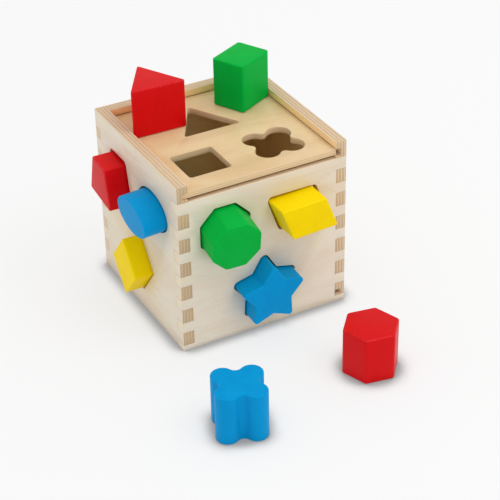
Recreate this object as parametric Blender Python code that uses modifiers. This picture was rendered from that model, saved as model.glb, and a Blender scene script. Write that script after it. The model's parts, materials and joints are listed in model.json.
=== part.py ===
"""Wooden shape sorter: a finger-jointed plywood box, a sliding lid with three
shaped holes, three shaped holes in each of three walls, and twelve painted
blocks, one for each hole.

Blender 4.5, metres, +Z up.  The box stands on z = 0 with its front towards -Y.
The origin is the middle of the floor area that the whole set covers.
"""
import math

import bmesh
import bpy
from mathutils import Matrix, Vector

MM = 0.001

# ------------------------------------------------------------------ dimensions
# All lengths in millimetres, in the box's own frame: x across the front,
# y from front to back, z up, origin under the middle of the box.
BOX = 140.0              # outer width, depth and height
WALL = 9.0               # plywood wall thickness
HALF = BOX / 2
INNER = HALF - WALL      # half width of the inside
FRONT_TOP = 127.0        # the front wall is lower, so the lid can slide over it
EDGE_R = 1.5             # rounding of the four upright outer edges

FINGER_FIRST = 4.8       # underside of the lowest side-wall finger
FINGER_H = 11.4          # height of each side-wall finger
FINGER_PITCH = 20.2
FINGER_COUNT = 6
BACK_TOP_FINGER = 126.0  # above this the side walls run through to the back
GAP = 0.3                # glue gap between neighbouring pieces

GROOVE_LOW, GROOVE_HIGH = 128.5, 134.5   # lid groove, height range
GROOVE_DEPTH = 4.5
LID_T = 5.0
LID_LOW = 128.9
LID_X = (-65.2, 61.8)
LID_Y = (-68.0, 65.0)

PANEL_T = 3.2
PANEL_LOW = 6.5
PANEL_GROOVE = (6.2, 10.0)
PANEL_GROOVE_DEPTH = 5.0
PANEL_HALF = INNER + PANEL_GROOVE_DEPTH - 0.5

BLOCK_L = 38.9           # length of every block
BLOCK_EDGE = 0.9         # rounding round each end of a block
CLEARANCE = 1.25         # hole to block, all round

# Position of the box's middle in the set's frame.
SET_X, SET_Y = 4.99, 59.79

# ------------------------------------------------------------------ paint
WOOD = (0.74, 0.60, 0.43, 1.0)
WOOD_LID = (0.78, 0.60, 0.38, 1.0)
RED = (0.62, 0.004, 0.006, 1.0)
YELLOW = (0.89, 0.64, 0.0, 1.0)
BLUE = (0.0, 0.24, 0.55, 1.0)
GREEN = (0.0, 0.40, 0.06, 1.0)


# ------------------------------------------------------------------ outlines
def rounded(corners, radius, steps):
    """A closed outline with every corner, outward or inward, rounded."""
    points = []
    count = len(corners)
    for i, corner in enumerate(corners):
        r = radius[i] if isinstance(radius, (list, tuple)) else radius
        before = Vector(corners[i - 1]) - Vector(corner)
        after = Vector(corners[(i + 1) % count]) - Vector(corner)
        before.normalize()
        after.normalize()
        half = before.angle(after) / 2
        reach = r / math.tan(half)
        centre = Vector(corner) + (before + after).normalized() * (r / math.sin(half))
        start = Vector(corner) + before * reach - centre
        sweep = (Vector(corner) + after * reach - centre)
        turn = math.atan2(start.x * sweep.y - start.y * sweep.x, start.dot(sweep))
        for k in range(steps + 1):
            a = turn * k / steps
            points.append((centre.x + start.x * math.cos(a) - start.y * math.sin(a),
                           centre.y + start.x * math.sin(a) + start.y * math.cos(a)))
    return points


def grown(corners, amount):
    """Corners of the same convex or star-shaped outline, moved outward."""
    result = []
    count = len(corners)
    for i in range(count):
        a, b, c = (Vector(corners[j % count]) for j in (i - 1, i, i + 1))
        n1 = Vector(((b - a).y, -(b - a).x)).normalized()
        n2 = Vector(((c - b).y, -(c - b).x)).normalized()
        result.append(tuple(b + (n1 + n2) * (amount / (1 + n1.dot(n2)))))
    return result


def polygon(sides, radius, start):
    return [(radius * math.cos(math.radians(start + 360 * i / sides)),
             radius * math.sin(math.radians(start + 360 * i / sides))) for i in range(sides)]


def oval(a, b, steps):
    return [(a * math.cos(2 * math.pi * i / steps), b * math.sin(2 * math.pi * i / steps))
            for i in range(steps)]


def star(tip, waist):
    points = []
    for i in range(5):
        for radius, angle in ((tip, 90 + 72 * i), (waist, 126 + 72 * i)):
            points.append((radius * math.cos(math.radians(angle)),
                           radius * math.sin(math.radians(angle))))
    return points


def clover(reach, lobe, dip, lobe_steps, dip_steps):
    """Four round lobes on the corners of a square, joined by hollow arcs."""
    back = reach + math.sqrt((lobe + dip) ** 2 - reach ** 2)
    meet = math.atan2(reach, back - reach)
    points = []
    for quarter in range(4):
        turn = math.pi / 2 * quarter
        arcs = []
        first, last = -meet, math.pi / 2 + meet
        for k in range(lobe_steps + 1):
            a = first + (last - first) * k / lobe_steps
            arcs.append((reach + lobe * math.cos(a), reach + lobe * math.sin(a)))
        for k in range(1, dip_steps):
            a = -meet - (math.pi - 2 * meet) * k / dip_steps
            arcs.append((dip * math.cos(a), back + dip * math.sin(a)))
        for x, y in arcs:
            points.append((x * math.cos(turn) - y * math.sin(turn),
                           x * math.sin(turn) + y * math.cos(turn)))
    return points


TRAPEZOID = [(-19.25, -16.15), (19.25, -16.15), (11.6, 16.15), (-11.6, 16.15)]
DIAMOND = [(0, -25.0), (20.0, 0), (0, 25.0), (-20.0, 0)]
PARALLELOGRAM = [(-14.2, -13.0), (23.2, -13.0), (14.2, 13.0), (-23.2, 13.0)]
OCTAGON_R = 19.1 / math.cos(math.radians(22.5))
HEXAGON_R = 22.0
TRIANGLE_R = 44.8 / math.sqrt(3)
RECTANGLE = [(-17.6, -14.2), (17.6, -14.2), (17.6, 14.2), (-17.6, 14.2)]
SQUARE = [(-15.9, -15.9), (15.9, -15.9), (15.9, 15.9), (-15.9, 15.9)]
CIRCLE_R = 18.5
OVAL_A, OVAL_B = 23.0, 14.1
CLOVER = (10.15, 8.65, 4.9)
STAR = (28.0, 15.9)


def outline(shape, extra=0.0):
    """The outline of a block, or of its hole when extra is the clearance."""
    r = extra
    if shape == "trapezoid":
        return rounded(grown(TRAPEZOID, r), 1.4 + r, 4)
    if shape == "diamond":
        return rounded(grown(DIAMOND, r), 1.4 + r, 4)
    if shape == "parallelogram":
        return rounded(grown(PARALLELOGRAM, r), 1.4 + r, 4)
    if shape == "octagon":
        return rounded(grown(polygon(8, OCTAGON_R, 22.5), r), 4.2 - 0.9 * r, 3)
    if shape == "hexagon":
        return rounded(grown(polygon(6, HEXAGON_R, 0.0), r), 1.5 + r, 3)
    if shape == "triangle":
        return rounded(grown(polygon(3, TRIANGLE_R, -30.0), r), 1.2 + 0.6 * r, 4)
    if shape == "rectangle":
        return rounded(grown(RECTANGLE, r), 2.2 + 0.4 * r, 4)
    if shape == "square":
        return rounded(grown(SQUARE, r), 1.6 + 0.6 * r, 4)
    if shape == "circle":
        return oval(CIRCLE_R + r, CIRCLE_R + r, 48)
    if shape == "oval":
        return oval(OVAL_A + r, OVAL_B + r, 48)
    if shape == "clover":
        reach, lobe, dip = CLOVER
        return clover(reach, lobe + r, dip - r, 12, 4)
    if shape == "star":
        points = grown(star(*STAR), r)
        return rounded(points, [2.4 + r if i % 2 == 0 else 1.0 for i in range(10)], 3)
    raise ValueError(shape)


# ------------------------------------------------------------------ scene
for item in list(bpy.data.objects):
    bpy.data.objects.remove(item, do_unlink=True)

parts = bpy.data.collections.new("shape_sorter")
cutters = bpy.data.collections.new("cutters")
for group in (parts, cutters):
    bpy.context.scene.collection.children.link(group)

placing = Matrix.Translation(Vector((SET_X * MM, SET_Y * MM, 0.0)))


def material(name, colour, roughness):
    made = bpy.data.materials.new(name)
    made.use_nodes = True
    shader = made.node_tree.nodes["Principled BSDF"]
    shader.inputs["Base Color"].default_value = colour
    shader.inputs["Roughness"].default_value = roughness
    shader.inputs["Metallic"].default_value = 0.0
    made.diffuse_color = colour
    return made


def add(name, mesh, group, matrix=None):
    item = bpy.data.objects.new(name, mesh)
    group.objects.link(item)
    item.matrix_world = placing @ (matrix or Matrix.Identity(4))
    if group is cutters:
        item.hide_render = True
        item.display_type = "WIRE"
    return item


def box_mesh(name, boxes, round_edges=()):
    """One mesh of axis-aligned boxes; upright edges at round_edges are rounded."""
    bm = bmesh.new()
    for low, high in boxes:
        size = Vector(high) - Vector(low)
        middle = (Vector(high) + Vector(low)) / 2
        matrix = Matrix.Translation(middle * MM) @ Matrix.Diagonal((*(size * MM), 1.0))
        bmesh.ops.create_cube(bm, size=1.0, matrix=matrix)
    chosen = []
    for edge in bm.edges:
        a, b = (v.co / MM for v in edge.verts)
        if abs((a - b).z) > 1 and any(abs(a.x - x) < 0.01 and abs(a.y - y) < 0.01 for x, y in round_edges):
            chosen.append(edge)
    if chosen:
        bmesh.ops.bevel(bm, geom=chosen, offset=EDGE_R * MM, segments=3, profile=0.5, affect="EDGES")
    mesh = bpy.data.meshes.new(name)
    bm.to_mesh(mesh)
    bm.free()
    return mesh


def prism_mesh(name, points, thickness):
    """A flat outline given thickness, centred on z = 0, as a closed mesh."""
    curve = bpy.data.curves.new(name + "_outline", "CURVE")
    curve.dimensions = "2D"
    curve.fill_mode = "BOTH"
    curve.extrude = thickness / 2 * MM
    spline = curve.splines.new("POLY")
    spline.points.add(len(points) - 1)
    for point, (x, y) in zip(spline.points, points):
        point.co = (x * MM, y * MM, 0.0, 1.0)
    spline.use_cyclic_u = True
    holder = bpy.data.objects.new(name + "_outline", curve)
    cutters.objects.link(holder)
    seen = bpy.context.evaluated_depsgraph_get()
    seen.update()
    mesh = bpy.data.meshes.new_from_object(holder.evaluated_get(seen))
    mesh.name = name
    bpy.data.objects.remove(holder, do_unlink=True)
    bpy.data.curves.remove(curve)
    bm = bmesh.new()
    bm.from_mesh(mesh)
    bmesh.ops.remove_doubles(bm, verts=bm.verts, dist=0.00001)
    bmesh.ops.dissolve_limit(bm, angle_limit=0.001, verts=bm.verts, edges=bm.edges)
    bmesh.ops.recalc_face_normals(bm, faces=bm.faces)
    bm.to_mesh(mesh)
    bm.free()
    return mesh


def cut(target, cutter):
    step = target.modifiers.new("cut_" + cutter.name, "BOOLEAN")
    step.operation = "DIFFERENCE"
    step.solver = "EXACT"
    step.object = cutter


# Frames of the four faces: (across, up, outward) and the outer surface's place.
FACES = {
    "front": (Vector((1, 0, 0)), Vector((0, 0, 1)), Vector((0, -1, 0))),
    "left": (Vector((0, -1, 0)), Vector((0, 0, 1)), Vector((-1, 0, 0))),
    "right": (Vector((0, 1, 0)), Vector((0, 0, 1)), Vector((1, 0, 0))),
    "lid": (Vector((1, 0, 0)), Vector((0, 1, 0)), Vector((0, 0, 1))),
}


def face_matrix(face, across, up, out, pitch=0.0, yaw=0.0, roll=0.0):
    """Matrix of a frame whose z points out of a face, tilted a little.
    pitch lowers the outer end, yaw swings it across, roll turns it."""
    u, v, n = FACES[face]
    axis = (n - math.tan(math.radians(pitch)) * v + math.tan(math.radians(yaw)) * u).normalized()
    x = (u - u.dot(axis) * axis).normalized()
    y = axis.cross(x)
    surface = LID_LOW + LID_T if face == "lid" else HALF
    spot = (u * across + v * up + n * surface + axis * out) * MM
    turned = Matrix((x, y, axis)).transposed().to_4x4() @ Matrix.Rotation(math.radians(roll), 4, "Z")
    return Matrix.Translation(spot) @ turned


# ------------------------------------------------------------------ holes
# face, shape, across, up, turn: where each shaped hole is.
HOLES = [
    ("left", "trapezoid", -29.9, 100.8, 0.0),
    ("left", "oval", 28.5, 101.9, 0.0),
    ("left", "diamond", 2.0, 42.3, 0.0),
    ("front", "octagon", -32.0, 94.6, 0.0),
    ("front", "parallelogram", 27.9, 95.6, 0.0),
    ("front", "star", -0.6, 35.4, 0.0),
    ("lid", "triangle", -2.3, 18.2, 0.0),
    ("lid", "square", -32.6, -34.4, 0.0),
    ("lid", "clover", 27.2, -35.4, 0.0),
    ("right", "rectangle", -36.0, 95.0, 90.0),
    ("right", "hexagon", -29.5, 41.0, 0.0),
    ("right", "circle", 30.0, 41.0, 0.0),
]
EXTRA = {"trapezoid": 2.1, "octagon": 1.4, "parallelogram": 2.1, "clover": 0.95, "triangle": 0.9}

hole_cutters = {"left": [], "front": [], "right": [], "lid": []}
for face, shape, across, up, turn in HOLES:
    mesh = prism_mesh(shape + "_hole", outline(shape, EXTRA.get(shape, CLEARANCE)), 3 * WALL)
    matrix = face_matrix(face, across, up, -WALL / 2, roll=turn)
    hole_cutters[face].append(add(shape + "_hole_cutter", mesh, cutters, matrix))

# ------------------------------------------------------------------ box
side_fingers = [(FINGER_FIRST + FINGER_PITCH * k, FINGER_FIRST + FINGER_PITCH * k + FINGER_H)
                for k in range(FINGER_COUNT)]


def between(fingers, top):
    spans, low = [], -5.0
    for start, end in fingers:
        spans.append((low, start))
        low = end
    spans.append((low, top))
    return spans


def notch_boxes(spans, x_range, y_range, loose):
    return [((x_range[0], y_range[0], low - (loose if low > 0 else 0)),
             (x_range[1], y_range[1], high + (loose if high < BOX else 0))) for low, high in spans]


g = GAP / 2
lid_groove = add("lid_groove_cutter", box_mesh("lid_groove", [
    ((-INNER - GROOVE_DEPTH, -HALF - 10, GROOVE_LOW),
     (INNER + GROOVE_DEPTH, INNER + GROOVE_DEPTH, GROOVE_HIGH))]), cutters)
panel_groove_depth = INNER + PANEL_GROOVE_DEPTH
panel_groove = add("panel_groove_cutter", box_mesh("panel_groove", [
    ((-panel_groove_depth, -panel_groove_depth, PANEL_GROOVE[0]),
     (panel_groove_depth, panel_groove_depth, PANEL_GROOVE[1]))]), cutters)
# On the right the panel groove was sawn through to the front end.
panel_groove_end = add("panel_groove_end_cutter", box_mesh("panel_groove_end", [
    ((INNER - 4, -HALF - 5, PANEL_GROOVE[0]),
     (panel_groove_depth, -INNER, PANEL_GROOVE[1]))]), cutters)

plywood = material("birch_plywood", WOOD, 0.45)
plywood_lid = material("birch_plywood_lid", WOOD_LID, 0.42)


def wall(name, low, high, round_edges, notches, extra_cutters):
    item = add(name, box_mesh(name, [(low, high)], round_edges), parts)
    item.data.materials.append(plywood)
    teeth = add(name + "_finger_cutter", box_mesh(name + "_fingers", notches), cutters)
    cut(item, teeth)
    for cutter in extra_cutters:
        cut(item, cutter)
    return item


front_gaps = between(side_fingers, FRONT_TOP)
back_gaps = between(side_fingers, BACK_TOP_FINGER)
for name, sign in (("left_wall", -1), ("right_wall", 1)):
    xs = sorted((sign * INNER, sign * HALF))
    reach = sorted((sign * (INNER - 5), sign * (HALF + 5)))
    notches = (notch_boxes(front_gaps, reach, (-HALF - 5, -INNER + g), g)
               + notch_boxes(back_gaps, reach, (INNER - g, HALF + 5), g))
    more = [lid_groove, panel_groove] + hole_cutters["left" if sign < 0 else "right"]
    if sign > 0:
        more.append(panel_groove_end)
    wall(name, (xs[0], -HALF, 0), (xs[1], HALF, BOX),
         ((sign * HALF, -HALF), (sign * HALF, HALF)), notches, more)

for name, sign, top, fingers in (
        ("front_wall", -1, FRONT_TOP, side_fingers),
        ("back_wall", 1, BOX, side_fingers + [(BACK_TOP_FINGER, BOX + 5)])):
    ys = sorted((sign * INNER, sign * HALF))
    reach = sorted((sign * (INNER - 5), sign * (HALF + 5)))
    notches = (notch_boxes(fingers, (-HALF - 5, -INNER + g), reach, g)
               + notch_boxes(fingers, (INNER - g, HALF + 5), reach, g))
    more = [panel_groove] + (hole_cutters["front"] if sign < 0 else [lid_groove])
    wall(name, (-HALF, ys[0], 0), (HALF, ys[1], top),
         ((-HALF, sign * HALF), (HALF, sign * HALF)), notches, more)

panel = add("bottom_panel", box_mesh("bottom_panel", [
    ((-PANEL_HALF, -PANEL_HALF, PANEL_LOW), (PANEL_HALF, PANEL_HALF, PANEL_LOW + PANEL_T))]), parts)
panel.data.materials.append(plywood)

# The lid's own empty stands on its slide line, at the middle of its front edge.
lid_slide = bpy.data.objects.new("lid_slide", None)
parts.objects.link(lid_slide)
lid_slide.empty_display_size = 0.02
lid_slide.matrix_world = placing @ Matrix.Translation(Vector((0, LID_Y[0], LID_LOW)) * MM)
lid = add("sliding_lid", box_mesh("sliding_lid", [
    ((LID_X[0], LID_Y[0], LID_LOW), (LID_X[1], LID_Y[1], LID_LOW + LID_T))]), parts)
lid.data.materials.append(plywood_lid)
lid.parent = lid_slide
lid.matrix_parent_inverse = lid_slide.matrix_world.inverted()
for cutter in hole_cutters["lid"]:
    cut(lid, cutter)

# ------------------------------------------------------------------ blocks
paints = {
    "red": material("red_paint", RED, 0.38),
    "yellow": material("yellow_paint", YELLOW, 0.38),
    "blue": material("blue_paint", BLUE, 0.38),
    "green": material("green_paint", GREEN, 0.38),
}


def block(name, shape, paint, matrix):
    """A block whose length lies along its own z, with its middle at the matrix."""
    mesh = prism_mesh(name, outline(shape), BLOCK_L)
    item = add(name, mesh, parts, matrix)
    mesh.materials.append(paints[paint])
    mesh.shade_smooth()
    mesh.set_sharp_from_angle(angle=math.radians(28))
    ease = item.modifiers.new("eased_ends", "BEVEL")
    ease.width = BLOCK_EDGE * MM
    ease.segments = 2
    ease.limit_method = "ANGLE"
    ease.angle_limit = math.radians(60)
    ease.use_clamp_overlap = True
    return item


def inserted(name, shape, paint, face, across, up, shows, pitch=0.0, yaw=0.0, roll=0.0):
    """A block pushed part way into a wall; shows is how far it stands out."""
    block(name, shape, paint, face_matrix(face, across, up, shows - BLOCK_L / 2, pitch, yaw, roll))


def standing(name, shape, paint, x, y, base, turn):
    matrix = Matrix.Translation(Vector((x, y, base + BLOCK_L / 2)) * MM) @ Matrix.Rotation(math.radians(turn), 4, "Z")
    block(name, shape, paint, matrix)


inserted("trapezoid_block", "trapezoid", "red", "left", -30.3, 100.4, 16.2, pitch=0.9, yaw=-2.5, roll=-3.6)
inserted("oval_block", "oval", "blue", "left", 28.3, 101.5, 17.7, pitch=3.5)
inserted("diamond_block", "diamond", "yellow", "left", 2.0, 42.2, 14.9, roll=-1.0)
inserted("octagon_block", "octagon", "green", "front", -32.1, 94.0, 20.2, pitch=8.5, yaw=-3.0, roll=0.8)
inserted("parallelogram_block", "parallelogram", "yellow", "front", 27.1, 96.0, 20.2, roll=2.2)
inserted("star_block", "star", "blue", "front", -0.7, 35.3, 15.2, pitch=3.0, yaw=-1.0)
inserted("circle_block", "circle", "yellow", "right", 30.0, 40.8, 17.0)

lid_top = LID_LOW + LID_T + GAP
standing("triangle_block", "triangle", "red", -38.0, 32.2, lid_top, -1.6)
standing("rectangle_block", "rectangle", "green", 38.9, 35.3, lid_top, 26.8)
standing("clover_block", "clover", "blue", -75.4, -168.0, 0.0, -19.6)
standing("hexagon_block", "hexagon", "red", 39.2, -155.4, 0.0, -10.6)
standing("square_block", "square", "green", 8.0, 29.0, PANEL_LOW + PANEL_T + GAP, 8.0)
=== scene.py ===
import json
import math

import bmesh
import bpy
from mathutils import Matrix, Vector

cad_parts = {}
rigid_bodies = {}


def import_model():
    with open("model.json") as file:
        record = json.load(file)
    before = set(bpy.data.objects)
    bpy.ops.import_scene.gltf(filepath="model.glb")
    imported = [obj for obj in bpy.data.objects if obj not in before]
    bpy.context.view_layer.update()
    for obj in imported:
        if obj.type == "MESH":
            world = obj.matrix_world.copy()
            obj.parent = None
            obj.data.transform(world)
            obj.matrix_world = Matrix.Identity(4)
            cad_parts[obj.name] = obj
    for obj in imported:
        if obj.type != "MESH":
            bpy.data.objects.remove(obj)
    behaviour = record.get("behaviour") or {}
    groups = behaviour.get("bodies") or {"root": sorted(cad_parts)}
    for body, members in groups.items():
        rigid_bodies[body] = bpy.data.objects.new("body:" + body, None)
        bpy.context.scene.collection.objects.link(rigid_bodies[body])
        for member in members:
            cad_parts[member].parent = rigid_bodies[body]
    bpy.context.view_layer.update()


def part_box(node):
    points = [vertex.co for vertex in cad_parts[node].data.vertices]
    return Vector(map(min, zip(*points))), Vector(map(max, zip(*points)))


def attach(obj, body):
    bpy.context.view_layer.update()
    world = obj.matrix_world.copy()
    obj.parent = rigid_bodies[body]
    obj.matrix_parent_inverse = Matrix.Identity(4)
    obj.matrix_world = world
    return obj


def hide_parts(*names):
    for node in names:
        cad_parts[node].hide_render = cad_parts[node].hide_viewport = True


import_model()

MM = 0.001
scene = bpy.context.scene

# Middle of the wooden box in the set's frame, in millimetres: from the walls themselves.
_lo, _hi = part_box("left_wall")
_lo2, _hi2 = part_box("right_wall")
SET_X = (_lo[0] + _hi2[0]) / 2 / MM
SET_Y = (_lo[1] + _hi[1]) / 2 / MM
SET = Vector((SET_X, SET_Y, 0.0))

BOX, WALL, HALF, INNER = 140.0, 9.0, 70.0, 61.0
FRONT_TOP = 127.0
FINGER_FIRST, FINGER_H, FINGER_PITCH, FINGER_COUNT = 4.8, 11.4, 20.2, 6
BACK_TOP_FINGER = 126.0
GROOVE_LOW, GROOVE_HIGH, GROOVE_DEPTH = 128.5, 134.5, 4.5
LID_T, LID_LOW = 5.0, 128.9
LID_X, LID_Y = (-65.2, 61.8), (-68.0, 65.0)
BLOCK_L, BLOCK_EDGE = 38.9, 1.0
CLEARANCE = 1.25
EXTRA = {"trapezoid": 2.1, "octagon": 1.4, "parallelogram": 2.1, "clover": 0.95, "triangle": 0.9}
EDGE_R = 1.5


# ================================================================== camera
def make_camera():
    data = bpy.data.cameras.new("camera")
    data.sensor_width = 36.0
    data.lens = 1580.9274 * 36.0 / 500.0
    camera = bpy.data.objects.new("camera", data)
    scene.collection.objects.link(camera)
    right = Vector((0.8768085, -0.48049652, -0.01816436))
    down = Vector((-0.2741713, -0.46855928, -0.83981087))
    ahead = Vector((0.39501512, 0.74133346, -0.54257512))
    turned = Matrix((right, -down, -ahead)).transposed().to_4x4()
    place = Vector((-0.47084725, -0.93014181, 0.70064144)) + SET * MM
    camera.matrix_world = Matrix.Translation(place) @ turned
    data.clip_start, data.clip_end = 0.05, 20.0
    scene.camera = camera
    return camera


camera = make_camera()
scene.view_settings.view_transform = "Standard"


# ================================================================== outlines
def rounded(corners, radius, steps):
    points = []
    count = len(corners)
    for i, corner in enumerate(corners):
        r = radius[i] if isinstance(radius, (list, tuple)) else radius
        before = (Vector(corners[i - 1]) - Vector(corner)).normalized()
        after = (Vector(corners[(i + 1) % count]) - Vector(corner)).normalized()
        half = before.angle(after) / 2
        reach = r / math.tan(half)
        centre = Vector(corner) + (before + after).normalized() * (r / math.sin(half))
        start = Vector(corner) + before * reach - centre
        sweep = Vector(corner) + after * reach - centre
        turn = math.atan2(start.x * sweep.y - start.y * sweep.x, start.dot(sweep))
        for k in range(steps + 1):
            a = turn * k / steps
            points.append((centre.x + start.x * math.cos(a) - start.y * math.sin(a),
                           centre.y + start.x * math.sin(a) + start.y * math.cos(a)))
    return points


def grown(corners, amount):
    result = []
    count = len(corners)
    for i in range(count):
        a, b, c = (Vector(corners[j % count]) for j in (i - 1, i, i + 1))
        n1 = Vector(((b - a).y, -(b - a).x)).normalized()
        n2 = Vector(((c - b).y, -(c - b).x)).normalized()
        result.append(tuple(b + (n1 + n2) * (amount / (1 + n1.dot(n2)))))
    return result


def polygon(sides, radius, start):
    return [(radius * math.cos(math.radians(start + 360 * i / sides)),
             radius * math.sin(math.radians(start + 360 * i / sides))) for i in range(sides)]


def oval(a, b, steps):
    return [(a * math.cos(2 * math.pi * i / steps), b * math.sin(2 * math.pi * i / steps))
            for i in range(steps)]


def star(tip, waist):
    points = []
    for i in range(5):
        for radius, angle in ((tip, 90 + 72 * i), (waist, 126 + 72 * i)):
            points.append((radius * math.cos(math.radians(angle)),
                           radius * math.sin(math.radians(angle))))
    return points


def clover(reach, lobe, dip, lobe_steps, dip_steps):
    back = reach + math.sqrt((lobe + dip) ** 2 - reach ** 2)
    meet = math.atan2(reach, back - reach)
    points = []
    for quarter in range(4):
        turn = math.pi / 2 * quarter
        arcs = []
        first, last = -meet, math.pi / 2 + meet
        for k in range(lobe_steps + 1):
            a = first + (last - first) * k / lobe_steps
            arcs.append((reach + lobe * math.cos(a), reach + lobe * math.sin(a)))
        for k in range(1, dip_steps):
            a = -meet - (math.pi - 2 * meet) * k / dip_steps
            arcs.append((dip * math.cos(a), back + dip * math.sin(a)))
        for x, y in arcs:
            points.append((x * math.cos(turn) - y * math.sin(turn),
                           x * math.sin(turn) + y * math.cos(turn)))
    return points


TRAPEZOID = [(-19.25, -16.15), (19.25, -16.15), (11.6, 16.15), (-11.6, 16.15)]
DIAMOND = [(0, -25.0), (20.0, 0), (0, 25.0), (-20.0, 0)]
PARALLELOGRAM = [(-14.2, -13.0), (23.2, -13.0), (14.2, 13.0), (-23.2, 13.0)]
OCTAGON_R = 19.1 / math.cos(math.radians(22.5))
HEXAGON_R = 22.0
TRIANGLE_R = 44.8 / math.sqrt(3)
RECTANGLE = [(-17.6, -14.2), (17.6, -14.2), (17.6, 14.2), (-17.6, 14.2)]
SQUARE = [(-15.9, -15.9), (15.9, -15.9), (15.9, 15.9), (-15.9, 15.9)]
CIRCLE_R = 18.5
OVAL_A, OVAL_B = 23.0, 14.1
CLOVER = (10.15, 8.65, 4.9)
STAR = (28.0, 15.9)


def outline(shape, extra=0.0):
    r = extra
    if shape == "trapezoid":
        return rounded(grown(TRAPEZOID, r), 1.4 + r, 8)
    if shape == "diamond":
        return rounded(grown(DIAMOND, r), 1.4 + r, 8)
    if shape == "parallelogram":
        return rounded(grown(PARALLELOGRAM, r), 1.4 + r, 8)
    if shape == "octagon":
        return rounded(grown(polygon(8, OCTAGON_R, 22.5), r), 4.2 - 0.9 * r, 7)
    if shape == "hexagon":
        return rounded(grown(polygon(6, HEXAGON_R, 0.0), r), 1.5 + r, 7)
    if shape == "triangle":
        return rounded(grown(polygon(3, TRIANGLE_R, -30.0), r), 1.2 + 0.6 * r, 8)
    if shape == "rectangle":
        return rounded(grown(RECTANGLE, r), 2.2 + 0.4 * r, 8)
    if shape == "square":
        return rounded(grown(SQUARE, r), 1.6 + 0.6 * r, 8)
    if shape == "circle":
        return oval(CIRCLE_R + r, CIRCLE_R + r, 112)
    if shape == "oval":
        return oval(OVAL_A + r, OVAL_B + r, 128)
    if shape == "clover":
        reach, lobe, dip = CLOVER
        return clover(reach, lobe + r, dip - r, 28, 8)
    if shape == "star":
        points = grown(star(*STAR), r)
        return rounded(points, [2.4 + r if i % 2 == 0 else 1.0 for i in range(10)], 6)
    raise ValueError(shape)


# ================================================================== meshes
pieces = bpy.data.collections.new("visual_pieces")
scene.collection.children.link(pieces)
tools = bpy.data.collections.new("visual_tools")
scene.collection.children.link(tools)


def evaluated_mesh(obj, name):
    deps = bpy.context.evaluated_depsgraph_get()
    deps.update()
    mesh = bpy.data.meshes.new_from_object(obj.evaluated_get(deps))
    mesh.name = name
    return mesh


def prism(name, points, thickness, edge=0.0, edge_steps=3):
    """A flat outline with thickness and rounded rims, as a closed mesh about z = 0."""
    curve = bpy.data.curves.new(name + "_outline", "CURVE")
    curve.dimensions = "2D"
    curve.fill_mode = "BOTH"
    curve.extrude = (thickness / 2 - edge) * MM
    curve.bevel_depth = edge * MM
    curve.bevel_resolution = edge_steps
    curve.offset = -edge * MM
    spline = curve.splines.new("POLY")
    spline.points.add(len(points) - 1)
    for point, (x, y) in zip(spline.points, points):
        point.co = (x * MM, y * MM, 0.0, 1.0)
    spline.use_cyclic_u = True
    holder = bpy.data.objects.new(name + "_outline", curve)
    tools.objects.link(holder)
    mesh = evaluated_mesh(holder, name)
    bpy.data.objects.remove(holder, do_unlink=True)
    bm = bmesh.new()
    bm.from_mesh(mesh)
    bmesh.ops.remove_doubles(bm, verts=bm.verts, dist=0.000004)
    bmesh.ops.dissolve_limit(bm, angle_limit=0.0008, verts=bm.verts, edges=bm.edges)
    bmesh.ops.recalc_face_normals(bm, faces=bm.faces)
    bm.to_mesh(mesh)
    bm.free()
    return mesh


def boxes(name, ranges, round_edges=(), radius=EDGE_R):
    bm = bmesh.new()
    for low, high in ranges:
        size = Vector(high) - Vector(low)
        middle = (Vector(high) + Vector(low)) / 2
        bmesh.ops.create_cube(bm, size=1.0, matrix=Matrix.Translation(middle * MM)
                              @ Matrix.Diagonal((*(size * MM), 1.0)))
    chosen = [e for e in bm.edges
              if abs((e.verts[0].co - e.verts[1].co).z) > 1 * MM
              and any(abs(e.verts[0].co.x / MM - x) < 0.01 and abs(e.verts[0].co.y / MM - y) < 0.01
                      for x, y in round_edges)]
    if chosen:
        bmesh.ops.bevel(bm, geom=chosen, offset=radius * MM, segments=6, profile=0.5, affect="EDGES")
    mesh = bpy.data.meshes.new(name)
    bm.to_mesh(mesh)
    bm.free()
    return mesh


def put(name, mesh, matrix=None, group=None):
    obj = bpy.data.objects.new(name, mesh)
    (group or pieces).objects.link(obj)
    obj.matrix_world = matrix or Matrix.Identity(4)
    return obj


def shifted(matrix=None):
    return Matrix.Translation(SET * MM) @ (matrix or Matrix.Identity(4))


FACES = {
    "front": (Vector((1, 0, 0)), Vector((0, 0, 1)), Vector((0, -1, 0))),
    "left": (Vector((0, -1, 0)), Vector((0, 0, 1)), Vector((-1, 0, 0))),
    "right": (Vector((0, 1, 0)), Vector((0, 0, 1)), Vector((1, 0, 0))),
    "lid": (Vector((1, 0, 0)), Vector((0, 1, 0)), Vector((0, 0, 1))),
}


def face_matrix(face, across, up, out, pitch=0.0, yaw=0.0, roll=0.0):
    u, v, n = FACES[face]
    axis = (n - math.tan(math.radians(pitch)) * v + math.tan(math.radians(yaw)) * u).normalized()
    x = (u - u.dot(axis) * axis).normalized()
    y = axis.cross(x)
    surface = LID_LOW + LID_T if face == "lid" else HALF
    spot = (u * across + v * up + n * surface + axis * out) * MM
    turned = Matrix((x, y, axis)).transposed().to_4x4() @ Matrix.Rotation(math.radians(roll), 4, "Z")
    return shifted(Matrix.Translation(spot) @ turned)


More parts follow.
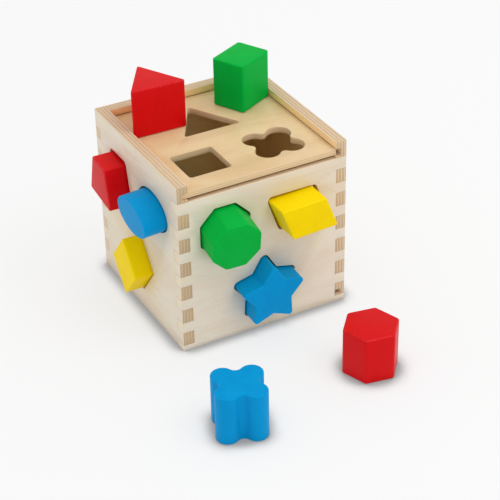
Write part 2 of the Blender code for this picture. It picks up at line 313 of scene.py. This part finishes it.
HOLES = [
    ("left", "trapezoid", -29.9, 100.8), ("left", "oval", 28.5, 101.9), ("left", "diamond", 2.0, 42.3),
    ("front", "octagon", -32.0, 94.6), ("front", "parallelogram", 27.9, 95.6), ("front", "star", -0.6, 35.4),
    ("lid", "triangle", -2.3, 18.2), ("lid", "square", -32.6, -34.4), ("lid", "clover", 27.2, -35.4),
    ("right", "rectangle", -36.0, 95.0), ("right", "hexagon", -29.5, 41.0), ("right", "circle", 30.0, 41.0),
]
hole_tools = {"left": [], "front": [], "right": [], "lid": []}
for face, shape, across, up in HOLES:
    mesh = prism(shape + "_hole", outline(shape, EXTRA.get(shape, CLEARANCE)), 3 * WALL)
    hole_tools[face].append(put(shape + "_hole_tool", mesh, face_matrix(face, across, up, -WALL / 2, roll=90.0 if shape == "rectangle" else 0.0), tools))


def cut_and_ease(name, mesh, cutters, ease, segments=2):
    """Cut a board, ease all its edges and give back one object at the origin."""
    obj = put(name, mesh, shifted(), tools)
    for cutter in cutters:
        step = obj.modifiers.new("cut", "BOOLEAN")
        step.operation, step.solver, step.object = "DIFFERENCE", "EXACT", cutter
    made = evaluated_mesh(obj, name)
    made.transform(obj.matrix_world)
    bpy.data.objects.remove(obj, do_unlink=True)
    bm = bmesh.new()
    bm.from_mesh(made)
    bmesh.ops.remove_doubles(bm, verts=bm.verts, dist=0.000004)
    bmesh.ops.dissolve_limit(bm, angle_limit=0.0008, verts=bm.verts, edges=bm.edges)
    bmesh.ops.recalc_face_normals(bm, faces=bm.faces)
    bm.to_mesh(made)
    bm.free()
    result = put(name, made)
    bevel = result.modifiers.new("eased", "BEVEL")
    bevel.width, bevel.segments = ease * MM, segments
    bevel.limit_method, bevel.angle_limit = "ANGLE", math.radians(40)
    bevel.use_clamp_overlap = True
    bevel.miter_outer = "MITER_ARC"
    done = evaluated_mesh(result, name)
    result.modifiers.clear()
    result.data = done
    done.shade_smooth()
    done.set_sharp_from_angle(angle=math.radians(32))
    return result


# ------------------------------------------------------------------ boards
side_fingers = [(FINGER_FIRST + FINGER_PITCH * k, FINGER_FIRST + FINGER_PITCH * k + FINGER_H)
                for k in range(FINGER_COUNT)]


def between(fingers, top):
    spans, low = [], -5.0
    for start, end in fingers:
        spans.append((low, start))
        low = end
    spans.append((low, top))
    return spans


SEAM = 0.05     # half the hairline between two glued fingers


def notches(spans, x_range, y_range):
    return [((x_range[0], y_range[0], low - (SEAM if low > 0 else 0)),
             (x_range[1], y_range[1], high + (SEAM if high < BOX else 0))) for low, high in spans]


def tool(name, ranges):
    return put(name, boxes(name, ranges), shifted(), tools)


lid_groove = tool("lid_groove", [((-INNER - GROOVE_DEPTH, -HALF - 10, GROOVE_LOW),
                                  (INNER + GROOVE_DEPTH, INNER + GROOVE_DEPTH, GROOVE_HIGH))])
panel_groove = tool("panel_groove", [((-66, -66, 6.2), (66, 66, 10.0))])
panel_groove_end = tool("panel_groove_end", [((57, -75, 6.2), (66, -61, 10.0))])

boards = {}
front_gaps, back_gaps = between(side_fingers, FRONT_TOP), between(side_fingers, BACK_TOP_FINGER)
for name, sign in (("left_wall", -1), ("right_wall", 1)):
    xs = sorted((sign * INNER, sign * HALF))
    reach = sorted((sign * (INNER - 5), sign * (HALF + 5)))
    teeth = tool(name + "_teeth", notches(front_gaps, reach, (-HALF - 5, -INNER + SEAM))
                 + notches(back_gaps, reach, (INNER - SEAM, HALF + 5)))
    more = [teeth, lid_groove, panel_groove] + hole_tools["left" if sign < 0 else "right"]
    if sign > 0:
        more.append(panel_groove_end)
    boards[name] = cut_and_ease(name + "_board", boxes(name, [((xs[0], -HALF, 0), (xs[1], HALF, BOX))],
                                ((sign * HALF, -HALF), (sign * HALF, HALF))), more, 0.22)
for name, sign, top, fingers in (
        ("front_wall", -1, FRONT_TOP, side_fingers),
        ("back_wall", 1, BOX, side_fingers + [(BACK_TOP_FINGER, BOX + 5)])):
    ys = sorted((sign * INNER, sign * HALF))
    reach = sorted((sign * (INNER - 5), sign * (HALF + 5)))
    teeth = tool(name + "_teeth", notches(fingers, (-HALF - 5, -INNER + SEAM), reach)
                 + notches(fingers, (INNER - SEAM, HALF + 5), reach))
    more = [teeth, panel_groove] + (hole_tools["front"] if sign < 0 else [lid_groove])
    boards[name] = cut_and_ease(name + "_board", boxes(name, [((-HALF, ys[0], 0), (HALF, ys[1], top))],
                                ((-HALF, sign * HALF), (HALF, sign * HALF))), more, 0.22)
boards["sliding_lid"] = cut_and_ease("lid_board", boxes("lid", [
    ((LID_X[0], LID_Y[0], LID_LOW), (LID_X[1], LID_Y[1], LID_LOW + LID_T))]), hole_tools["lid"], 0.3)
boards["bottom_panel"] = cut_and_ease("bottom_board", boxes("bottom", [
    ((-65.5, -65.5, 6.5), (65.5, 65.5, 9.7))]), [], 0.2)


# ================================================================== materials
def lin(r, g, b):
    """A colour given as it looks on screen, 0 to 255, in linear light."""
    def one(c):
        c /= 255.0
        return c / 12.92 if c <= 0.04045 else ((c + 0.055) / 1.055) ** 2.4
    return (one(r), one(g), one(b), 1.0)


class Tree:
    """Short names for building a node material."""

    def __init__(self, name):
        self.mat = bpy.data.materials.new(name)
        self.mat.use_nodes = True
        self.nodes = self.mat.node_tree.nodes
        self.links = self.mat.node_tree.links
        self.shader = self.nodes["Principled BSDF"]

    def node(self, kind, **sockets):
        made = self.nodes.new(kind)
        for key, value in sockets.items():
            setattr(made, key, value)
        return made

    def feed(self, socket, value):
        if isinstance(value, bpy.types.NodeSocket):
            self.links.new(value, socket)
        else:
            socket.default_value = value

    def math(self, operation, a, b=None, c=None, clamp=False):
        n = self.node("ShaderNodeMath", operation=operation, use_clamp=clamp)
        for socket, value in zip(n.inputs, (a, b, c)):
            if value is not None:
                self.feed(socket, value)
        return n.outputs[0]

    def mapped(self, vector, scale, location=(0, 0, 0), rotation=(0, 0, 0)):
        n = self.node("ShaderNodeMapping")
        self.feed(n.inputs["Vector"], vector)
        n.inputs["Scale"].default_value = scale
        n.inputs["Location"].default_value = location
        n.inputs["Rotation"].default_value = rotation
        return n.outputs[0]

    def noise(self, vector, scale=1.0, detail=3.0, rough=0.55, distortion=0.0, out="Fac"):
        n = self.node("ShaderNodeTexNoise")
        self.feed(n.inputs["Vector"], vector)
        n.inputs["Scale"].default_value = scale
        n.inputs["Detail"].default_value = detail
        n.inputs["Roughness"].default_value = rough
        n.inputs["Distortion"].default_value = distortion
        return n.outputs[out]

    def ramp(self, value, stops, smooth="LINEAR"):
        n = self.node("ShaderNodeValToRGB")
        n.color_ramp.interpolation = smooth
        ends = n.color_ramp.elements
        while len(ends) < len(stops):
            ends.new(0.5)
        for element, (place, colour) in zip(ends, stops):
            element.position = place
            element.color = colour if isinstance(colour, tuple) else (colour, colour, colour, 1.0)
        self.feed(n.inputs[0], value)
        return n.outputs[0]

    def range(self, value, a, b, c, d, smooth=True):
        n = self.node("ShaderNodeMapRange", interpolation_type="SMOOTHSTEP" if smooth else "LINEAR")
        self.feed(n.inputs["Value"], value)
        for key, number in (("From Min", a), ("From Max", b), ("To Min", c), ("To Max", d)):
            n.inputs[key].default_value = number
        return n.outputs[0]

    def mix(self, factor, a, b, blend="MIX"):
        n = self.node("ShaderNodeMix", data_type="RGBA", blend_type=blend)
        self.feed(n.inputs[0], factor)
        self.feed(n.inputs[6], a)
        self.feed(n.inputs[7], b)
        return n.outputs[2]

    def bump(self, height, distance, strength=1.0, normal=None):
        n = self.node("ShaderNodeBump")
        n.inputs["Strength"].default_value = strength
        n.inputs["Distance"].default_value = distance
        self.feed(n.inputs["Height"], height)
        if normal is not None:
            self.feed(n.inputs["Normal"], normal)
        return n.outputs[0]


def plywood(name, across, grain, low, thickness, plies, face, shade, dark, pale, seed,
            ends=1.0, calm_ends=(), inside=None, painted_edge_light=None):
    """Clear-lacquered birch plywood as a solid: face veneer on its two faces and
    the stack of plies wherever it is cut.  across: thickness axis, grain: the face
    veneer's grain axis, low: where the thickness starts, in the box frame."""
    t = Tree(name)
    axes = "XYZ"
    a, gr = axes.index(across), axes.index(grain)
    rest = ({0, 1, 2} - {a, gr}).pop()
    coord = t.node("ShaderNodeTexCoord").outputs["Object"]
    mm = t.mapped(coord, (1000.0, 1000.0, 1000.0), (-SET_X, -SET_Y, 0.0))
    split = t.node("ShaderNodeSeparateXYZ")
    t.feed(split.inputs[0], mm)
    geo = t.node("ShaderNodeNewGeometry")
    nsplit = t.node("ShaderNodeSeparateXYZ")
    t.feed(nsplit.inputs[0], geo.outputs["Normal"])
    facing = t.math("ABSOLUTE", nsplit.outputs[a])
    end_facing = t.math("ABSOLUTE", nsplit.outputs[gr])
    is_edge = t.range(facing, 0.75, 0.55, 0.0, 1.0)
    is_end = t.range(end_facing, 0.55, 0.8, 0.0, 1.0)

    # ---- face veneer
    def stretched(along, sideways, offset=0.0):
        scale = [0.0, 0.0, 0.0]
        scale[gr], scale[rest], scale[a] = along, sideways, sideways
        return t.mapped(mm, tuple(scale), (seed * 7.3 + offset, seed * 3.1, seed * 5.7 - offset))

    figure = t.noise(stretched(0.010, 0.034), 1.0, 3.0, 0.5, 0.8)
    streak = t.noise(stretched(0.022, 0.42, 4.0), 1.0, 4.0, 0.6, 0.35)
    fibre = t.noise(stretched(0.11, 3.1, 9.0), 1.0, 3.0, 0.6)
    pore = t.noise(stretched(0.55, 4.2, 21.0), 1.0, 1.0, 0.5)
    patch = t.noise(stretched(0.020, 0.026, 33.0), 1.0, 2.0, 0.5, 0.4)
    veneer = t.mix(t.range(figure, 0.34, 0.68, 0.0, 1.0), face, shade)
    blotch = t.noise(t.mapped(mm, (0.045, 0.045, 0.045), (seed * 2.0, 0.0, seed)), 1.0, 3.0, 0.55, 0.3)
    fleck = t.noise(stretched(0.30, 0.75, 51.0), 1.0, 2.0, 0.55)
    veneer = t.mix(t.range(streak, 0.50, 0.78, 0.0, 0.20), veneer, dark)
    veneer = t.mix(t.range(patch, 0.52, 0.70, 0.0, 0.55), veneer, pale)
    veneer = t.mix(t.range(blotch, 0.52, 0.70, 0.0, 0.40), veneer, shade)
    veneer = t.mix(t.range(fibre, 0.42, 0.66, 0.0, 0.10), veneer, dark)
    veneer = t.mix(t.range(fleck, 0.58, 0.74, 0.0, 0.16), veneer, dark)
    veneer = t.mix(t.range(pore, 0.66, 0.76, 0.0, 0.16), veneer, dark)
    # The inner side takes the warmer tone: partly bare wood, partly painted shade colour for the space within the box.
    if inside is not None:
        low_side, tone = inside
        hidden = t.range(split.outputs[a], low + thickness / 2 - 0.5, low + thickness / 2 + 0.5,
                         1.0 if low_side else 0.0, 0.0 if low_side else 1.0)
        veneer = t.mix(hidden, veneer, t.mix(0.95, veneer, tone))

    # ---- stack of plies
    wobble = t.noise(t.mapped(mm, (0.09, 0.09, 0.09), (seed, seed, 0.0)), 1.0, 2.0, 0.5)
    depth = t.math("ADD", split.outputs[a], t.range(wobble, 0.3, 0.7, -0.16, 0.16, False))
    place = t.math("DIVIDE", t.math("SUBTRACT", depth, low), thickness)
    light_ply, dark_ply = lin(219, 197, 165), lin(201, 168, 130)
    glue = lin(187, 152, 114)
    stops_long, stops_end = [], []
    width = 1.0 / plies
    for k in range(plies):
        for stops, flip in ((stops_long, 0), (stops_end, 1)):
            colour = light_ply if (k + flip) % 2 == 0 else dark_ply
            stops.append((k * width + 0.012, colour))
            stops.append(((k + 1) * width - 0.020, colour))
            if k < plies - 1:
                stops.append(((k + 1) * width, glue))
    long_edge = t.ramp(place, stops_long)
    end_edge = t.ramp(place, stops_end)
    stack = t.mix(t.math("MULTIPLY", is_end, ends), long_edge, end_edge)
    grit = t.noise(t.mapped(mm, (1.1, 1.1, 1.1), (seed, 0.0, 3.0)), 1.0, 3.0, 0.65)
    lines = [0.12, 0.12, 0.12]
    lines[a] = 3.6
    saw = t.noise(t.mapped(mm, tuple(lines), (seed, 2.0, 0.0)), 1.0, 3.0, 0.6)
    stack = t.mix(t.range(grit, 0.42, 0.72, 0.0, 0.22), stack, lin(182, 142, 102))
    stack = t.mix(t.range(saw, 0.45, 0.7, 0.0, 0.24), stack, lin(234, 216, 190))
    # The lid's cut edges are mixed towards a lighter, warmer tone: painted light that lifts the shaded walls of its
    # holes.
    if painted_edge_light:
        stack = t.mix(painted_edge_light[1], stack, painted_edge_light[0])
    # A stretch of end grain with its own tone: axis, from, to, colour, how much.
    for axis, start, end, tone, amount in calm_ends:
        spot = split.outputs[axes.index(axis)]
        near = t.math("MULTIPLY", t.range(spot, start - 0.2, start, 0.0, amount), t.range(spot, end, end + 0.2, 1.0, 0.0))
        stack = t.mix(t.math("MULTIPLY", near, is_end), stack, tone)
    colour = t.mix(is_edge, veneer, stack)
    t.links.new(colour, t.shader.inputs["Base Color"])

    rough = t.math("ADD", t.range(streak, 0.3, 0.7, 0.40, 0.50), t.math("MULTIPLY", is_edge, 0.16))
    t.links.new(rough, t.shader.inputs["Roughness"])
    face_height = t.math("ADD", t.math("MULTIPLY", fibre, 0.6), t.math("MULTIPLY", pore, 0.5))
    edge_height = t.math("ADD", saw, grit)
    height = t.math("ADD", t.math("MULTIPLY", face_height, t.math("SUBTRACT", 1.0, is_edge)),
                    t.math("MULTIPLY", edge_height, is_edge))
    t.links.new(t.bump(height, 0.00012, 0.35), t.shader.inputs["Normal"])
    t.shader.inputs["Coat Weight"].default_value = 0.12
    t.shader.inputs["Coat Roughness"].default_value = 0.30
    t.shader.inputs["Specular IOR Level"].default_value = 0.40
    return t.mat


def paint(name, colour, light, deep, sheen, seed, gloss=0.36):
    """Satin paint over sanded hardwood: faint grain under it along the block, a
    rougher cut end, and a lighter colour on the rims: partly thinner paint with wear, partly a painted highlight."""
    t = Tree(name)
    coord = t.node("ShaderNodeTexCoord").outputs["Object"]
    mm = t.mapped(coord, (1000.0, 1000.0, 1000.0), (seed * 11.0, seed * 5.0, 0.0))
    plain = t.mapped(coord, (1000.0, 1000.0, 1000.0))
    split = t.node("ShaderNodeSeparateXYZ")
    t.feed(split.inputs[0], plain)
    level = t.math("ABSOLUTE", split.outputs[2])
    at_end = t.range(level, BLOCK_L / 2 - 0.35, BLOCK_L / 2 - 0.05, 0.0, 1.0)
    # The band near each end where the rims get their wear and painted highlight.
    rim_wear_highlight_band = t.math("MULTIPLY", t.range(level, BLOCK_L / 2 - 1.5, BLOCK_L / 2 - 0.7, 0.0, 1.0),
                    t.math("SUBTRACT", 1.0, at_end))
    fibre = t.noise(t.mapped(mm, (1.5, 1.5, 0.045)), 1.0, 3.0, 0.6)
    broad = t.noise(t.mapped(mm, (0.10, 0.10, 0.03)), 1.0, 2.0, 0.5, 0.4)
    peel = t.noise(mm, 1.1, 2.0, 0.5)
    rings = t.node("ShaderNodeTexWave", wave_type="RINGS", rings_direction="Z")
    t.feed(rings.inputs["Vector"], t.mapped(mm, (1.0, 1.0, 0.0), (28.0, -17.0, 0.0)))
    rings.inputs["Scale"].default_value = 0.16
    rings.inputs["Distortion"].default_value = 1.4
    rings.inputs["Detail"].default_value = 2.0
    rings.inputs["Detail Scale"].default_value = 0.6
    ring = rings.outputs["Fac"]
    base = t.mix(t.range(broad, 0.3, 0.72, 0.0, 0.34), colour, deep)
    base = t.mix(t.math("MULTIPLY", t.range(fibre, 0.48, 0.72, 0.0, 0.22), t.math("SUBTRACT", 1.0, at_end)), base, deep)
    base = t.mix(t.math("MULTIPLY", t.range(ring, 0.55, 0.95, 0.0, 0.10), at_end), base, deep)
    # The rims take the lighter colour: partly wear, partly a painted highlight.
    rim_wear_and_highlight = t.range(t.noise(mm, 0.55, 3.0, 0.6), 0.46, 0.70, 0.04, 0.34)
    base = t.mix(t.math("MULTIPLY", rim_wear_highlight_band, rim_wear_and_highlight), base, light)
    speck = t.range(t.noise(mm, 2.6, 1.0, 0.5), 0.74, 0.80, 0.0, 0.35)
    base = t.mix(speck, base, light)
    t.links.new(base, t.shader.inputs["Base Color"])
    rough = t.math("ADD", t.range(peel, 0.3, 0.7, gloss, gloss + 0.07), t.math("MULTIPLY", at_end, 0.05))
    t.links.new(rough, t.shader.inputs["Roughness"])
    sides = t.math("MULTIPLY", fibre, t.math("SUBTRACT", 1.0, at_end))
    height = t.math("ADD", t.math("MULTIPLY", sides, 0.8),
                    t.math("ADD", t.math("MULTIPLY", peel, 0.35),
                           t.math("MULTIPLY", t.math("MULTIPLY", ring, at_end), 0.25)))
    t.links.new(t.bump(height, 0.00010, 0.35), t.shader.inputs["Normal"])
    t.shader.inputs["Specular IOR Level"].default_value = sheen
    return t.mat


FACE, SHADE = lin(231, 221, 202), lin(227, 211, 189)
DARK, PALE = lin(209, 184, 152), lin(233, 219, 186)
INNER_TINT_AND_SHADE = lin(252, 216, 156)      # the inner side: bare, unlacquered wood, with a warm tint that is painted shade colour for the space within the box
woods = {
    "front_wall": plywood("plywood_front", "Y", "X", -HALF, WALL, 7, FACE, SHADE, DARK, PALE, 1.0,
                          calm_ends=[("X", -HALF - 1, -HALF + 1.6, lin(235, 221, 195), 1.0)], inside=(False, INNER_TINT_AND_SHADE)),
    "back_wall": plywood("plywood_back", "Y", "X", INNER, WALL, 7, FACE, SHADE, DARK, PALE, 2.0,
                         calm_ends=[("X", -HALF - 1, -HALF + 1.6, lin(226, 208, 180), 0.7)], inside=(True, INNER_TINT_AND_SHADE)),
    "left_wall": plywood("plywood_left", "X", "Y", -HALF, WALL, 7, FACE, SHADE, DARK, PALE, 3.0,
                         calm_ends=[("Y", -HALF - 1, -HALF + 1.6, lin(184, 156, 116), 0.42)], inside=(False, INNER_TINT_AND_SHADE)),
    "right_wall": plywood("plywood_right", "X", "Y", INNER, WALL, 7, FACE, SHADE, DARK, PALE, 4.0, inside=(True, INNER_TINT_AND_SHADE)),
    "sliding_lid": plywood("plywood_lid", "Z", "X", LID_LOW, LID_T, 5, lin(227, 200, 154), lin(218, 186, 138),
                           lin(198, 150, 98), lin(230, 206, 166), 5.0,
                           # lighter, warmer cut edges: painted light for the lid's shaded hole walls
                           painted_edge_light=(lin(242, 210, 158), 0.42)),
    "bottom_panel": plywood("plywood_bottom", "Z", "X", 6.5, 3.2, 3, FACE, SHADE, DARK, PALE, 6.0, inside=(False, INNER_TINT_AND_SHADE)),
}
for node, board in boards.items():
    board.data.materials.clear()
    board.data.materials.append(woods[node])
    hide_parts(node)
    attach(board, "lid" if node == "sliding_lid" else "box")

# ================================================================== blocks
# Each entry: paint colour, a lighter colour (on the rims partly wear and partly a painted highlight, pink for red;
# elsewhere random specks), a deeper tone, and the specular level.
PAINTS = {
    "red": (lin(214, 0, 8), lin(244, 104, 110), lin(200, 0, 0), 0.13),
    "yellow": (lin(248, 216, 0), lin(255, 236, 60), lin(238, 200, 0), 0.05),
    "blue": (lin(0, 148, 210), lin(10, 176, 232), lin(0, 134, 196), 0.05),
    "green": (lin(0, 176, 64), lin(6, 200, 100), lin(0, 158, 50), 0.05),
}


def painted_block(shape, colour, matrix, seed, turn=0.0):
    name = shape + "_block"
    points, rim = outline(shape), BLOCK_EDGE
    if shape == "hexagon":       # sanded rounder than the others
        points, rim = rounded(polygon(6, HEXAGON_R, 0.0), 3.0, 10), 1.8
    mesh = prism(name + "_body", points, BLOCK_L, rim, 5)
    mesh.transform(Matrix.Rotation(math.radians(turn), 4, "Z"))
    obj = put(name + "_painted", mesh, matrix)
    mesh.shade_smooth()
    mesh.set_sharp_from_angle(angle=math.radians(34))
    mesh.materials.clear()
    mesh.materials.append(paint(name + "_paint", *PAINTS[colour], seed))
    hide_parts(name)
    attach(obj, shape)
    return obj


def inserted(shape, colour, face, across, up, shows, pitch=0.0, yaw=0.0, roll=0.0, seed=0.0):
    return painted_block(shape, colour, face_matrix(face, across, up, shows - BLOCK_L / 2, pitch, yaw, roll), seed)


def standing(shape, colour, x, y, base, turn, seed=0.0):
    return painted_block(shape, colour, shifted(Matrix.Translation(Vector((x, y, base + BLOCK_L / 2)) * MM)), seed, turn)


inserted("trapezoid", "red", "left", -30.3, 100.4, 16.2, pitch=0.9, yaw=-2.5, roll=-3.6, seed=1.0)
inserted("oval", "blue", "left", 28.3, 101.5, 17.7, pitch=3.5, seed=2.0)
inserted("diamond", "yellow", "left", 2.0, 42.2, 14.9, roll=-1.0, seed=3.0)
inserted("octagon", "green", "front", -32.1, 94.0, 20.2, pitch=8.5, yaw=-3.0, roll=0.8, seed=4.0)
inserted("parallelogram", "yellow", "front", 27.1, 96.0, 20.2, roll=2.2, seed=5.0)
inserted("star", "blue", "front", -0.7, 35.3, 15.2, pitch=3.0, yaw=-1.0, seed=6.0)
inserted("circle", "yellow", "right", 30.0, 40.8, 17.0, seed=7.0)
LID_TOP = LID_LOW + LID_T + 0.3
standing("triangle", "red", -38.0, 32.2, LID_TOP, -1.6, seed=8.0)
standing("rectangle", "green", 38.9, 35.3, LID_TOP, 26.8, seed=9.0)
standing("clover", "blue", -75.4, -168.0, 0.0, -19.6, seed=10.0)
standing("hexagon", "red", 39.2, -155.4, 0.0, -10.6, seed=11.0)
standing("square", "green", 8.0, 29.0, 10.0, 8.0, seed=12.0)

for obj in list(tools.objects):
    bpy.data.objects.remove(obj, do_unlink=True)
bpy.data.collections.remove(tools)

# ================================================================== floor and light
floor_mesh = bpy.data.meshes.new("floor")
bm = bmesh.new()
bmesh.ops.create_grid(bm, x_segments=2, y_segments=2, size=4.0)
bm.to_mesh(floor_mesh)
bm.free()
floor = bpy.data.objects.new("floor", floor_mesh)
scene.collection.objects.link(floor)
floor_mat = Tree("floor_white")
# A self-lit white sweep that glows evenly; a painted shadow darkens its colour and glow where something stands close to
# it.
contact = floor_mat.node("ShaderNodeAmbientOcclusion")
contact.samples = 12
contact.inputs["Distance"].default_value = 0.014
# Painted shadow: 1 in the open, down to 0.4 where something stands, applied to colour and glow alike.
near = floor_mat.range(contact.outputs["AO"], 0.50, 0.98, 0.40, 1.0)
floor_mat.links.new(floor_mat.mix(near, (0.0, 0.0, 0.0, 1.0), (0.32, 0.32, 0.32, 1.0)), floor_mat.shader.inputs["Base Color"])
floor_mat.links.new(floor_mat.math("MULTIPLY", near, 0.61), floor_mat.shader.inputs["Emission Strength"])
floor_mat.shader.inputs["Roughness"].default_value = 0.9
floor_mat.shader.inputs["Specular IOR Level"].default_value = 0.0
floor_mat.shader.inputs["Emission Color"].default_value = (1.0, 1.0, 1.0, 1.0)
floor_mesh.materials.append(floor_mat.mat)

world = bpy.data.worlds.new("world")
scene.world = world
world.use_nodes = True
world.node_tree.nodes["Background"].inputs[0].default_value = (1.0, 1.0, 1.0, 1.0)
world.node_tree.nodes["Background"].inputs[1].default_value = 0.84


def softbox(name, place, aim, size, power):
    data = bpy.data.lights.new(name, "AREA")
    data.shape, data.size, data.energy = "SQUARE", size, power
    light = bpy.data.objects.new(name, data)
    scene.collection.objects.link(light)
    place, aim = Vector(place), Vector(aim)
    light.location = place
    light.rotation_mode = "QUATERNION"
    light.rotation_quaternion = (aim - place).to_track_quat("-Z", "Y")


softbox("key", (0.95, -1.10, 2.0), (0.0, 0.0, 0.06), 1.4, 10.5)
softbox("top", (0.1, 0.0, 2.6), (0.0, 0.0, 0.08), 2.2, 10.0)
